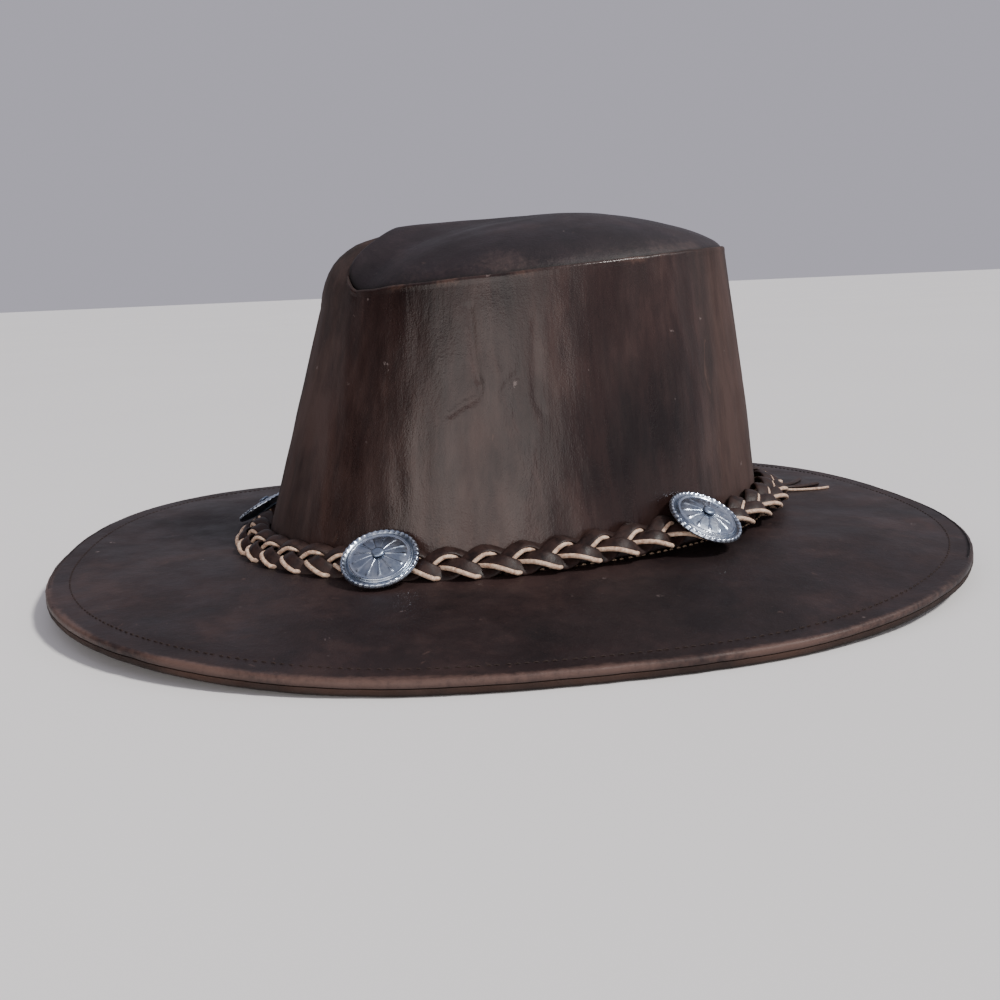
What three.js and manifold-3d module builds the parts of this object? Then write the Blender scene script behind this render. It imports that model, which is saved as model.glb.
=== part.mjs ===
// Wide-brimmed leather hat: a two-layer brim, a tapered crown with a domed tip, and a lift-off
// braided hat band that carries silver conchos. Millimetres, +Z up, front of the hat towards -Y.
// The origin is on the resting surface, under the middle of the brim.
import * as THREE from 'three';
import { mergeVertices } from 'three/addons/utils/BufferGeometryUtils.js';
import Module from 'manifold-3d';

const wasm = await Module();
wasm.setup();

// Leather and clearances
const LEATHER = 2.4;
const GAP = 0.3;
const RING_SEGMENTS = 54;

// Brim: a squarish oval whose two sides droop to the resting surface
const BRIM_HALF_LENGTH = 184;
const BRIM_HALF_WIDTH = 175.5;
const BRIM_SQUARENESS = 2.35;
const SIDE_DROP = 7;
const END_DROP = 1.6;
const BRIM_FLAT_IN = 0.12;
const BRIM_FLAT_OUT = 0.93;
const BRIM_FALL_POWER = 1.4;
const REST_HALF_ARC = 0.3;
const BRIM_STATIONS = [0, BRIM_FLAT_IN, 2 * BRIM_FLAT_IN, 0.4, 0.58, 0.76, BRIM_FLAT_OUT, 1];
const BRIM_STACK = 2 * LEATHER + GAP;
const FOOT_Z = SIDE_DROP + BRIM_STACK;
const FOOT_PITCH = 3;

// Crown: the oval foot, the smaller oval rim above it, and the peak where the front is drawn up
const CROWN_CENTRE_Y = 5;
const FOOT_HALF_LENGTH = 107;
const FOOT_HALF_WIDTH = 88;
const RIM_HALF_LENGTH = 84.6;
const RIM_HALF_WIDTH = 71;
const RIM_HEIGHT = 103.3;
const RIM_TILT = 6.4;
const RIM_BACKSET = 8.6;
const PEAK_RISE = 25;
const PEAK_BACKSET = 29;
const PEAK_HALF_SPREAD = 32;
const PEAK_FLAT = 4;
const PEAK_RISE_POWER = 0.8;
const PEAK_BACK_POWER = 1.5;
const SHOULDER_RISE = 24;
const SHOULDER_BACKSET = 2;
const SHOULDER_START = 0.97;
const CREST_HEIGHT = 128.3;
const CREST_Y = 25;
const DOME_POWER = 0.8;
const RIM_TURN = 2;
const TIP_STATIONS = [0, 0.3, 0.55, 0.75, 0.9, 1];
const WALL_STATIONS = [0, 0.3, 0.65, SHOULDER_START, 0.98, 0.99, 1];

// The crown's turned-out foot, sewn between the two brim layers
const FLANGE_WIDTH = 6;
const FLANGE_THICKNESS = 1.8;
const FLANGE_TOP = -(LEATHER + GAP);
const FLANGE_SPREAD = FLANGE_THICKNESS + GAP;

// Sweatband and the tape over the crown's back seam
const SWEATBAND_THICKNESS = 1.2;
const SWEATBAND_TOP = 30;
const SWEATBAND_INSET = LEATHER + GAP;
const TAPE_HALF_ANGLE = 4;
const TAPE_THICKNESS = 1;
const TAPE_INSET = LEATHER + 2 * GAP;
const TAPE_LOW = 0.34;
const TAPE_HIGH = 0.9;

// Threads
const THREAD_RADIUS = 0.45;
const EDGE_THREAD_STATION = 0.9;
const FOOT_THREAD_OFFSET = 3.2;

// Hat band: a flat three-strand braid that leans in the corner of crown and brim
const BAND_LEAN = THREE.MathUtils.degToRad(31);
const BAND_OUT = 5.6;
const BAND_UP = 4.9;
const BAND_BACK_RISE = 3.5;
const BAND_RISE_FROM = -0.4;
const BAND_RISE_TO = 0.6;
const BRAID_PERIODS = 15;
const STEPS_PER_PERIOD = 6;
const BRAID_HALF_SWING = 4.8;
const BRAID_HALF_LIFT = 2.1;
const BRAID_START = Math.PI / 2;
const STRAND_RADIUS = 0.95;
const STRAND_SIDES = 6;
const LACE_RADIUS = 0.55;
const LACE_SIDES = 5;
const LACE_BESIDE = 2.3;
const STRAND_COUNT = 3;

// Tie at the back, and the loose ends that leave it
const TIE_HALF_LENGTH = 7;
const TIE_LOW = -6;
const TIE_HIGH = 7.6;
const TIE_HALF_THICKNESS = 3;
const TIE_CLEARANCE = 2;
const TAIL_SIDES = 8;
const TAIL_STEPS = 12;

// Conchos and their clips
const CONCHO_PLACES = [0.1625, 0.3468, 0.558, 0.752, 0.94];
const CONCHO_RADIUS = 14.5;
const CONCHO_FLANGE_RADIUS = 11.6;
const CONCHO_THICKNESS = 1.2;
const CONCHO_DOME = 2;
const CONCHO_SEGMENTS = 20;
const WELD_DISTANCE = 1e-4;
const CONCHO_BACK = 5;
const CONCHO_LATERAL = 2.4;
const CLIP_LEAN = THREE.MathUtils.degToRad(5);
const RIVET_RADIUS = 1.2;
const RIVET_HEAD_RADIUS = 2.4;
const RIVET_HEAD_HEIGHT = 0.9;
const RIVET_CLEARANCE = 0.4;
const RIVET_SIDES = 12;
const CLIP_WIDTH = 6;
const CLIP_THICKNESS = 0.7;
const CLIP_FACE = 3.5;
const CLIP_LEG_LOW = 0.6;
const CLIP_LEG_INNER = -6.7;
const CLIP_LEG_OUTER = 8.7;

const materials = {
  topLeather: new THREE.MeshStandardMaterial({ color: 0x2c1d19, roughness: 0.55, metalness: 0 }),
  rawLeather: new THREE.MeshStandardMaterial({ color: 0x4a3026, roughness: 0.8, metalness: 0 }),
  lining: new THREE.MeshStandardMaterial({ color: 0x6b4a33, roughness: 0.7, metalness: 0 }),
  thread: new THREE.MeshStandardMaterial({ color: 0x8a6b4f, roughness: 0.8, metalness: 0 }),
  strand: new THREE.MeshStandardMaterial({ color: 0x3a211c, roughness: 0.6, metalness: 0 }),
  lace: new THREE.MeshStandardMaterial({ color: 0xc9ad90, roughness: 0.7, metalness: 0 }),
  silver: new THREE.MeshStandardMaterial({ color: 0xb9bec6, roughness: 0.25, metalness: 1 }),
};

const hat = new THREE.Group();

function addMesh(name, geometry, material) {
  const mesh = new THREE.Mesh(geometry, material);
  mesh.name = name;
  hat.add(mesh);
  return mesh;
}

// ---- Outlines. theta is 0 at the back of the hat and 180 degrees at the front. ----

// The line where crown and brim meet stands higher at the back than at the front.
function footZ(theta) {
  return FOOT_Z + FOOT_PITCH * Math.cos(theta);
}

// A point beside that line, by its distance out from the crown and its height above the line.
function footPoint(theta, offset, height) {
  const across = FOOT_HALF_WIDTH * Math.sin(theta);
  const lengthways = CROWN_CENTRE_Y + FOOT_HALF_LENGTH * Math.cos(theta);
  const point = new THREE.Vector3(across, lengthways, footZ(theta) + height);
  return point.addScaledVector(footNormal(theta), offset);
}

function footNormal(theta) {
  const towardsSide = Math.sin(theta) / FOOT_HALF_WIDTH;
  const towardsBack = Math.cos(theta) / FOOT_HALF_LENGTH;
  return new THREE.Vector3(towardsSide, towardsBack, 0).normalize();
}

function brimEdge(theta) {
  const across = Math.abs(Math.sin(theta) / BRIM_HALF_WIDTH) ** BRIM_SQUARENESS;
  const along = Math.abs(Math.cos(theta) / BRIM_HALF_LENGTH) ** BRIM_SQUARENESS;
  const radius = (across + along) ** (-1 / BRIM_SQUARENESS);
  return new THREE.Vector3(radius * Math.sin(theta), radius * Math.cos(theta), 0);
}

// Height of the brim's top surface at a station that runs from 0 at the crown to 1 at the edge.
function brimTopZ(theta, station) {
  const towardsEnd = THREE.MathUtils.smoothstep(Math.abs(Math.cos(theta)), REST_HALF_ARC, 1);
  const drop = THREE.MathUtils.lerp(SIDE_DROP, END_DROP, towardsEnd);
  const out = THREE.MathUtils.clamp((station - BRIM_FLAT_IN) / (BRIM_FLAT_OUT - BRIM_FLAT_IN), 0, 1);
  return THREE.MathUtils.lerp(footZ(theta), FOOT_Z - drop, out ** BRIM_FALL_POWER);
}

function brimPoint(theta, station, innerOffset, depth) {
  const point = footPoint(theta, innerOffset, 0).lerp(brimEdge(theta), station);
  point.z = brimTopZ(theta, station) - depth;
  return point;
}

// How far the crown's front is drawn up, from 0 round the sides to 1 at the front.
function peak(theta) {
  const fromFront = Math.abs(180 - Math.abs(THREE.MathUtils.radToDeg(theta)));
  return 1 - THREE.MathUtils.smoothstep(fromFront, PEAK_FLAT, PEAK_HALF_SPREAD);
}

function rimPoint(theta, rise, backset) {
  const lift = peak(theta);
  const back = backset * lift ** PEAK_BACK_POWER;
  return new THREE.Vector3(
    RIM_HALF_WIDTH * Math.sin(theta),
    CROWN_CENTRE_Y + RIM_BACKSET + RIM_HALF_LENGTH * Math.cos(theta) + back,
    FOOT_Z + RIM_HEIGHT + RIM_TILT * Math.cos(theta) + rise * lift ** PEAK_RISE_POWER,
  );
}

// Outer surface of the crown's side, from 0 at the foot to 1 at the rim.
function wallPoint(theta, station) {
  const foot = footPoint(theta, 0, 0);
  if (station <= SHOULDER_START) {
    return foot.lerp(rimPoint(theta, 0, 0), station);
  }
  const start = foot.clone().lerp(rimPoint(theta, 0, 0), SHOULDER_START);
  const corner = foot.lerp(rimPoint(theta, 0, 0), (SHOULDER_START + 1) / 2);
  corner.y += SHOULDER_BACKSET * peak(theta);
  corner.z += SHOULDER_RISE * peak(theta);
  const bend = new THREE.QuadraticBezierCurve3(start, corner, rimPoint(theta, PEAK_RISE, PEAK_BACKSET));
  return bend.getPoint((station - SHOULDER_START) / (1 - SHOULDER_START));
}

function insetWallPoint(theta, station, inset) {
  const turn = peak(theta) * THREE.MathUtils.smoothstep(station, SHOULDER_START, 1);
  const inward = footNormal(theta).negate();
  inward.z = -RIM_TURN * turn;
  return wallPoint(theta, station).addScaledVector(inward.normalize(), inset);
}

// ---- Building rings: a lathe gives the closed surface, and place() says where each point goes. ----

function bendLathe(section, place, segments = RING_SEGMENTS) {
  const profile = section.map((entry, index) => new THREE.Vector2(1 + index, index));
  const lathe = new THREE.LatheGeometry(profile, segments);
  const position = lathe.attributes.position;
  for (let index = 0; index < position.count; index += 1) {
    const turn = Math.floor(index / section.length) % segments;
    const point = place((-2 * Math.PI * turn) / segments, ...section[index % section.length]);
    position.setXYZ(index, point.x, point.y, point.z);
  }
  return lathe;
}

function closedSection(outer, inner) {
  return [...outer, ...inner, outer[0]];
}

function brimLayerSection(topDepth) {
  const bottomDepth = topDepth + LEATHER;
  const bottom = BRIM_STATIONS.map((station) => [station, bottomDepth]);
  const top = BRIM_STATIONS.map((station) => [station, topDepth]).reverse();
  return closedSection(bottom, top);
}

// ---- Brim ----

addMesh(
  'brim_top_layer',
  bendLathe(brimLayerSection(0), (theta, station, depth) => brimPoint(theta, station, GAP, depth)),
  materials.topLeather,
);

// The under layer steps down by the flange's thickness close to the crown.
function underLayerPoint(theta, station, depth) {
  const clearOfFlange = THREE.MathUtils.smoothstep(station, BRIM_FLAT_IN, 2 * BRIM_FLAT_IN);
  return brimPoint(theta, station, -LEATHER, depth + FLANGE_SPREAD * (1 - clearOfFlange));
}

addMesh(
  'brim_under_layer',
  bendLathe(brimLayerSection(LEATHER + GAP), underLayerPoint),
  materials.rawLeather,
);

// ---- Crown ----

// Offsets from the foot line of the turned-out flange's corners.
const flangeOffsets = { heel: -LEATHER, edge: FLANGE_WIDTH, root: 0 };

function crownSidePoint(theta, part, amount) {
  if (part === 'outer') {
    return wallPoint(theta, amount);
  }
  if (part === 'inner') {
    return insetWallPoint(theta, amount, LEATHER);
  }
  return footPoint(theta, flangeOffsets[part], amount);
}

const crownSideOuter = [
  ['heel', FLANGE_TOP - FLANGE_THICKNESS],
  ['edge', FLANGE_TOP - FLANGE_THICKNESS],
  ['edge', FLANGE_TOP],
  ['root', FLANGE_TOP],
  ...WALL_STATIONS.map((station) => ['outer', station]),
];
const crownSideInner = WALL_STATIONS.map((station) => ['inner', station]).reverse();

const crownSideSection = closedSection(crownSideOuter, crownSideInner);
addMesh('crown_side', bendLathe(crownSideSection, crownSidePoint), materials.topLeather);

function tipPoint(theta, station, height) {
  const rim = rimPoint(theta, PEAK_RISE, PEAK_BACKSET);
  const under = rim.z + GAP;
  const crest = FOOT_Z + CREST_HEIGHT - LEATHER;
  const dome = Math.max(0, 1 - station ** 2) ** DOME_POWER;
  return new THREE.Vector3(
    rim.x * station,
    THREE.MathUtils.lerp(CREST_Y, rim.y, station),
    THREE.MathUtils.lerp(under, crest, dome) + height,
  );
}

const tipUnder = TIP_STATIONS.map((station) => [station, 0]);
const tipOver = TIP_STATIONS.map((station) => [station, LEATHER]).reverse();
addMesh('crown_tip', bendLathe([...tipUnder, ...tipOver], tipPoint), materials.topLeather);

// ---- Inside the crown ----

// A point inside the crown at a height above the foot; below the foot it runs straight down.
function liningPoint(theta, height, inset) {
  if (height <= 0) {
    return footPoint(theta, -inset, height);
  }
  return insetWallPoint(theta, height / RIM_HEIGHT, inset);
}

const sweatbandBottom = -(BRIM_STACK + FLANGE_SPREAD);
const sweatbandSection = closedSection(
  [sweatbandBottom, 0, SWEATBAND_TOP].map((height) => [height, SWEATBAND_INSET]),
  [SWEATBAND_TOP, 0, sweatbandBottom].map((height) => [height, SWEATBAND_INSET + SWEATBAND_THICKNESS]),
);
addMesh('sweatband', bendLathe(sweatbandSection, liningPoint), materials.lining);

function backSeamTape() {
  const box = new THREE.BoxGeometry(1, 1, 1, 2, 4, 1);
  const position = box.attributes.position;
  for (let index = 0; index < position.count; index += 1) {
    const theta = THREE.MathUtils.degToRad(-2 * TAPE_HALF_ANGLE * position.getX(index));
    const station = THREE.MathUtils.lerp(TAPE_LOW, TAPE_HIGH, position.getY(index) + 0.5);
    const inset = TAPE_INSET + TAPE_THICKNESS * (0.5 - position.getZ(index));
    const point = insetWallPoint(theta, station, inset);
    position.setXYZ(index, point.x, point.y, point.z);
  }
  return box;
}

addMesh('back_seam_tape', backSeamTape(), materials.lining);

// ---- Threads, each a thin closed ring just above the top layer ----

function threadSection() {
  const start = [THREAD_RADIUS, 0];
  return [start, [0, THREAD_RADIUS], [-THREAD_RADIUS, 0], [0, -THREAD_RADIUS], start];
}

addMesh(
  'brim_edge_thread',
  bendLathe(threadSection(), (theta, side, up) => {
    const point = brimPoint(theta, EDGE_THREAD_STATION, GAP, -(GAP + THREAD_RADIUS + up));
    return point.addScaledVector(footNormal(theta), side);
  }),
  materials.thread,
);

addMesh(
  'crown_foot_thread',
  bendLathe(threadSection(), (theta, side, up) =>
    footPoint(theta, FOOT_THREAD_OFFSET + side, GAP + THREAD_RADIUS + up)),
  materials.thread,
);

// ---- Hat band ----

// The middle line of the band, spaced evenly by length; 0 and 1 are at the back.
function bandLine() {
  const points = [];
  for (let index = 0; index < 4 * RING_SEGMENTS; index += 1) {
    const theta = (2 * Math.PI * index) / (4 * RING_SEGMENTS);
    const towardsBack = THREE.MathUtils.smoothstep(Math.cos(theta), BAND_RISE_FROM, BAND_RISE_TO);
    points.push(footPoint(theta, BAND_OUT, BAND_UP + BAND_BACK_RISE * towardsBack));
  }
  const line = new THREE.CatmullRomCurve3(points, true);
  line.arcLengthDivisions = 8 * RING_SEGMENTS;
  return line;
}

const band = bandLine();
const bandLength = band.getLength();

// Axes of the band at a place along it: along it, across it towards the brim, and out of its face.
function bandAxes(along) {
  const forward = band.getTangentAt(THREE.MathUtils.euclideanModulo(along, 1)).setZ(0).normalize();
  const outward = new THREE.Vector3(-forward.y, forward.x, 0);
  const across = outward.clone().multiplyScalar(Math.cos(BAND_LEAN));
  across.z = -Math.sin(BAND_LEAN);
  const face = outward.multiplyScalar(Math.sin(BAND_LEAN));
  face.z = Math.cos(BAND_LEAN);
  return { forward, across, face };
}

function bandPoint(along, lateral, height) {
  const { across, face } = bandAxes(along);
  const point = band.getPointAt(THREE.MathUtils.euclideanModulo(along, 1));
  return point.addScaledVector(across, lateral).addScaledVector(face, height);
}

// One member of the braid: a strand when beside is 0, or the lace that runs beside that strand.
class BraidPath extends THREE.Curve {
  constructor(member, beside) {
    super();
    this.phase = (2 * Math.PI * member) / STRAND_COUNT + BRAID_START;
    this.beside = beside;
  }

  getPoint(t, target = new THREE.Vector3()) {
    const trim = (TIE_HALF_LENGTH + TIE_CLEARANCE) / bandLength;
    const wave = 2 * Math.PI * BRAID_PERIODS * t + this.phase;
    const slope = (BRAID_HALF_SWING * Math.cos(wave) * 2 * Math.PI * BRAID_PERIODS) / bandLength;
    const shift = this.beside / Math.hypot(1, slope);
    const along = THREE.MathUtils.lerp(trim, 1 - trim, t) - (shift * slope) / bandLength;
    const lateral = BRAID_HALF_SWING * Math.sin(wave) + shift;
    return target.copy(bandPoint(along, lateral, -BRAID_HALF_LIFT * Math.sin(2 * wave)));
  }

  getPointAt(u, target) {
    return this.getPoint(u, target);
  }

  getTangentAt(u, target) {
    return this.getTangent(u, target);
  }
}

function roundSection(radius, sides) {
  const corners = [];
  for (let side = 0; side < sides; side += 1) {
    const angle = (2 * Math.PI * side) / sides;
    corners.push(new THREE.Vector2(radius * Math.cos(angle), radius * Math.sin(angle)));
  }
  return new THREE.Shape(corners);
}

function tube(path, radius, sides, steps) {
  return new THREE.ExtrudeGeometry(roundSection(radius, sides), { steps, extrudePath: path });
}

for (let member = 0; member < STRAND_COUNT; member += 1) {
  const steps = BRAID_PERIODS * STEPS_PER_PERIOD;
  const strand = tube(new BraidPath(member, 0), STRAND_RADIUS, STRAND_SIDES, steps);
  const lace = tube(new BraidPath(member, LACE_BESIDE), LACE_RADIUS, LACE_SIDES, steps);
  addMesh(`braid_strand_${member + 1}`, strand, materials.strand);
  addMesh(`braid_lace_${member + 1}`, lace, materials.lace);
}

// ---- Tie at the back ----

// Sets a mesh on the band. It may lean back along the band, about an axis across it.
function placeOnBand(mesh, along, lateral, height, lean = 0) {
  const { forward, across, face } = bandAxes(along);
  mesh.quaternion.setFromRotationMatrix(new THREE.Matrix4().makeBasis(forward, across, face));
  mesh.position.copy(bandPoint(along, lateral, 0));
  mesh.rotateY(-lean);
  mesh.translateZ(height);
}

function tieGeometry() {
  const halfWidth = (TIE_HIGH - TIE_LOW) / 2;
  const outline = new THREE.Shape();
  outline.absellipse(0, 0, TIE_HALF_THICKNESS, halfWidth, 0, 2 * Math.PI);
  const options = { depth: 2 * TIE_HALF_LENGTH, bevelEnabled: false, curveSegments: 8 };
  const wrap = new THREE.ExtrudeGeometry(outline, options);
  wrap.translate(0, 0, -TIE_HALF_LENGTH);
  wrap.rotateY(Math.PI / 2);
  return wrap;
}

placeOnBand(addMesh('band_tie', tieGeometry(), materials.strand), 0, (TIE_LOW + TIE_HIGH) / 2, 0);

// Loose ends: each leaves the tie's lower edge and lies on the brim, away from the crown.
// A route lists degrees round the brim, the station, and the height above the brim's top.
const LACE_TAIL = [
  [1.65, 0.172, 4.3], [1.65, 0.209, 2.6], [1.64, 0.254, 1.1], [1.23, 0.345, 0.9],
  [0.35, 0.442, 0.9], [-0.66, 0.519, 0.9], [-1.83, 0.582, 0.9],
];
const STRAND_TAILS = [
  [
    [-0.44, 0.172, 4.3], [-0.48, 0.209, 2.7], [-0.55, 0.254, 1.5],
    [-1.23, 0.345, 1.3], [-2.55, 0.436, 1.3], [-5.15, 0.564, 1.3],
  ],
  [
    [-2.52, 0.173, 4.3], [-2.75, 0.209, 2.7], [-3.05, 0.254, 1.5],
    [-4.29, 0.334, 1.3], [-6.3, 0.408, 1.3], [-9.92, 0.526, 1.3],
  ],
];

function tailGeometry(route, radius) {
  const points = route.map(([degrees, station, height]) =>
    brimPoint(THREE.MathUtils.degToRad(degrees), station, GAP, -height));
  return tube(new THREE.CatmullRomCurve3(points), radius, TAIL_SIDES, TAIL_STEPS);
}

addMesh('lace_tail', tailGeometry(LACE_TAIL, LACE_RADIUS), materials.lace);
STRAND_TAILS.forEach((route, index) => {
  addMesh(`strand_tail_${index + 1}`, tailGeometry(route, STRAND_RADIUS), materials.strand);
});

// ---- Conchos ----

function toSolid(geometry) {
  geometry.deleteAttribute('normal');
  geometry.deleteAttribute('uv');
  const merged = mergeVertices(geometry, WELD_DISTANCE);
  return new wasm.Manifold(new wasm.Mesh({
    numProp: 3,
    vertProperties: new Float32Array(merged.attributes.position.array),
    triVerts: new Uint32Array(merged.index.array),
  }));
}

function fromSolid(solid) {
  const mesh = solid.getMesh();
  const geometry = new THREE.BufferGeometry();
  geometry.setAttribute('position', new THREE.BufferAttribute(mesh.vertProperties, 3));
  geometry.setIndex(new THREE.BufferAttribute(mesh.triVerts, 1));
  geometry.computeVertexNormals();
  return geometry;
}

// The disc: a flat flange round a shallow dome, with a hole for the rivet. Its axis is +Z.
function conchoGeometry() {
  const hole = RIVET_RADIUS + RIVET_CLEARANCE;
  const domeAt = (radius) => CONCHO_DOME * (1 - (radius / CONCHO_FLANGE_RADIUS) ** 2);
  const radii = [hole, CONCHO_FLANGE_RADIUS / 2, CONCHO_FLANGE_RADIUS];
  const under = radii.map((radius) => new THREE.Vector2(radius, domeAt(radius)));
  const over = under.map((point) => new THREE.Vector2(point.x, point.y + CONCHO_THICKNESS)).reverse();
  const edge = [new THREE.Vector2(CONCHO_RADIUS, 0), new THREE.Vector2(CONCHO_RADIUS, CONCHO_THICKNESS)];
  const disc = new THREE.LatheGeometry([...under, ...edge, ...over, under[0]], CONCHO_SEGMENTS);
  disc.rotateX(Math.PI / 2);
  return disc;
}

function blockBetween(low, high) {
  const size = high.clone().sub(low);
  const block = new THREE.BoxGeometry(size.x, size.y, size.z);
  block.translate(...low.add(high).multiplyScalar(0.5));
  return toSolid(block);
}

function discBetween(radius, low, high) {
  const disc = new THREE.CylinderGeometry(radius, radius, high - low, RIVET_SIDES);
  disc.rotateX(Math.PI / 2);
  disc.translate(0, CONCHO_LATERAL, (low + high) / 2);
  return toSolid(disc);
}

// The clip: a plate across the braid, two prongs over its edges, and the rivet the disc turns on.
function clipGeometry() {
  const half = CLIP_WIDTH / 2;
  const wall = CLIP_THICKNESS / 2;
  const top = CLIP_FACE + CLIP_THICKNESS;
  const head = CONCHO_BACK + CONCHO_DOME + CONCHO_THICKNESS + GAP;
  const prong = (lateral) => blockBetween(
    new THREE.Vector3(-half, lateral - wall, CLIP_LEG_LOW),
    new THREE.Vector3(half, lateral + wall, top),
  );
  const plate = blockBetween(
    new THREE.Vector3(-half, CLIP_LEG_INNER - wall, CLIP_FACE),
    new THREE.Vector3(half, CLIP_LEG_OUTER + wall, top),
  );
  const post = discBetween(RIVET_RADIUS, CLIP_FACE + wall, head + RIVET_HEAD_HEIGHT / 2);
  const rivetHead = discBetween(RIVET_HEAD_RADIUS, head, head + RIVET_HEAD_HEIGHT);
  const clip = plate.add(prong(CLIP_LEG_INNER)).add(prong(CLIP_LEG_OUTER));
  return fromSolid(clip.add(post).add(rivetHead));
}

CONCHO_PLACES.forEach((along, index) => {
  const lean = CLIP_LEAN * Math.sin(2 * Math.PI * along);
  const disc = addMesh(`concho_${index + 1}`, conchoGeometry(), materials.silver);
  placeOnBand(disc, along, CONCHO_LATERAL, CONCHO_BACK, lean);
  const clip = addMesh(`concho_clip_${index + 1}`, clipGeometry(), materials.silver);
  placeOnBand(clip, along, 0, 0, lean);
});

export default hat;
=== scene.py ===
import math

import bmesh
import bpy
import numpy as np
from mathutils import Matrix, Vector


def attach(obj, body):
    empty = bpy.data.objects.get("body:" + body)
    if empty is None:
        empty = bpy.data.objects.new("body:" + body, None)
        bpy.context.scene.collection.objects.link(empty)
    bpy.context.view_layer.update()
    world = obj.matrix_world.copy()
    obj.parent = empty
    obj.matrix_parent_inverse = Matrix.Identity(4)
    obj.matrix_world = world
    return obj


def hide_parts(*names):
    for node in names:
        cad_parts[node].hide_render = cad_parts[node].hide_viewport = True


# A wide-brimmed leather hat with a braided band and silver conchos, in metres.
# +Z is up and the front of the hat is towards -Y. theta is 0 at the back and pi at the front.

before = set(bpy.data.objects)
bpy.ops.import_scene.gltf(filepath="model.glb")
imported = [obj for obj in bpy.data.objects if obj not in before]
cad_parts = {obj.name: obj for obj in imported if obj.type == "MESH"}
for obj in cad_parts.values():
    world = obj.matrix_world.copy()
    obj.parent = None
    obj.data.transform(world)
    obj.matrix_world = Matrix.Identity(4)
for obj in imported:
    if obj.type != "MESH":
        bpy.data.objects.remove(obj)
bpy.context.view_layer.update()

MM = 0.001

# ---- Sizes shared with the CAD model ----

LEATHER = 2.4 * MM
GAP = 0.3 * MM
BRIM_HALF_LENGTH = 184 * MM
BRIM_HALF_WIDTH = 175.5 * MM
BRIM_SQUARENESS = 2.35
SIDE_DROP = 7 * MM
END_DROP = 1.6 * MM
BRIM_FLAT_IN = 0.12
BRIM_FLAT_OUT = 0.93
BRIM_FALL_POWER = 1.4
REST_HALF_ARC = 0.3
FOOT_Z = 12.1 * MM
FOOT_PITCH = 3 * MM
CROWN_CENTRE_Y = 5 * MM
FOOT_HALF_LENGTH = 107 * MM
FOOT_HALF_WIDTH = 88 * MM
RIM_HALF_LENGTH = 84.6 * MM
RIM_HALF_WIDTH = 71 * MM
RIM_HEIGHT = 103.3 * MM
RIM_TILT = 6.4 * MM
RIM_BACKSET = 8.6 * MM
PEAK_RISE = 25 * MM
PEAK_BACKSET = 29 * MM
PEAK_HALF_SPREAD = 32
PEAK_FLAT = 4
PEAK_RISE_POWER = 0.8
PEAK_BACK_POWER = 1.5
SHOULDER_RISE = 24 * MM
SHOULDER_BACKSET = 2 * MM
SHOULDER_START = 0.97
CREST_HEIGHT = 128.3 * MM
CREST_Y = 25 * MM
DOME_POWER = 0.8
FLANGE_TOP = -(LEATHER + GAP)
FLANGE_THICKNESS = 1.8 * MM
FLANGE_WIDTH = 6 * MM
EDGE_THREAD_STATION = 0.9
FOOT_THREAD_OFFSET = 3.2 * MM
BAND_LEAN = math.radians(31)
BAND_OUT = 5.6 * MM
BAND_UP = 4.9 * MM
BAND_BACK_RISE = 3.5 * MM
BAND_RISE_FROM = -0.4
BAND_RISE_TO = 0.6
BRAID_PERIODS = 15
BRAID_START = math.pi / 2
BRAID_HALF_SWING = 4.8 * MM
BRAID_HALF_LIFT = 2.1 * MM
BRAID_TRIM = 9 * MM
CONCHO_PLACES = [0.1625, 0.3468, 0.558, 0.752, 0.94]
CONCHO_RADIUS = 14.5
CONCHO_BACK = 5 * MM
CONCHO_LATERAL = 2.4 * MM
CLIP_LEAN = math.radians(5)


# ---- Vector helpers; arrays of points have x, y and z on their last axis ----

def smoothstep(value, low, high):
    t = np.clip((value - low) / (high - low), 0, 1)
    return t * t * (3 - 2 * t)


def points_of(x, y, z):
    return np.stack(np.broadcast_arrays(x, y, z), axis=-1).astype(float)


def unit(vectors):
    return vectors / np.linalg.norm(vectors, axis=-1, keepdims=True)


def bump(value, centre, width):
    return np.exp(-(((value - centre) / width) ** 2))


def ripple(points, size, seed, waves=14):
    """A smooth random field of about -1 to 1 whose features are about size across."""
    rng = np.random.default_rng(seed)
    directions = unit(rng.normal(size=(waves, 3))) * rng.uniform(0.6, 1.5, (waves, 1))
    phases = rng.uniform(0, 2 * np.pi, waves)
    total = np.cos(points @ directions.T * (np.pi / size) + phases).sum(axis=-1)
    return total / math.sqrt(waves)


# ---- Outlines of the hat ----

def foot_normal(theta):
    return unit(points_of(np.sin(theta) / FOOT_HALF_WIDTH, np.cos(theta) / FOOT_HALF_LENGTH, 0))


def foot_z(theta):
    return FOOT_Z + FOOT_PITCH * np.cos(theta)


def foot_point(theta, offset, height):
    """A point by its distance out from the crown's foot line and its height above that line."""
    across = FOOT_HALF_WIDTH * np.sin(theta)
    along = CROWN_CENTRE_Y + FOOT_HALF_LENGTH * np.cos(theta)
    place = points_of(across, along, foot_z(theta) + height)
    return place + foot_normal(theta) * np.asarray(offset)[..., None]


def brim_edge(theta):
    across = np.abs(np.sin(theta) / BRIM_HALF_WIDTH) ** BRIM_SQUARENESS
    along = np.abs(np.cos(theta) / BRIM_HALF_LENGTH) ** BRIM_SQUARENESS
    radius = (across + along) ** (-1 / BRIM_SQUARENESS)
    return points_of(radius * np.sin(theta), radius * np.cos(theta), 0)


def brim_top_z(theta, station):
    towards_end = smoothstep(np.abs(np.cos(theta)), REST_HALF_ARC, 1)
    drop = SIDE_DROP + (END_DROP - SIDE_DROP) * towards_end
    out = np.clip((station - BRIM_FLAT_IN) / (BRIM_FLAT_OUT - BRIM_FLAT_IN), 0, 1) ** BRIM_FALL_POWER
    return foot_z(theta) + (FOOT_Z - drop - foot_z(theta)) * out


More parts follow.
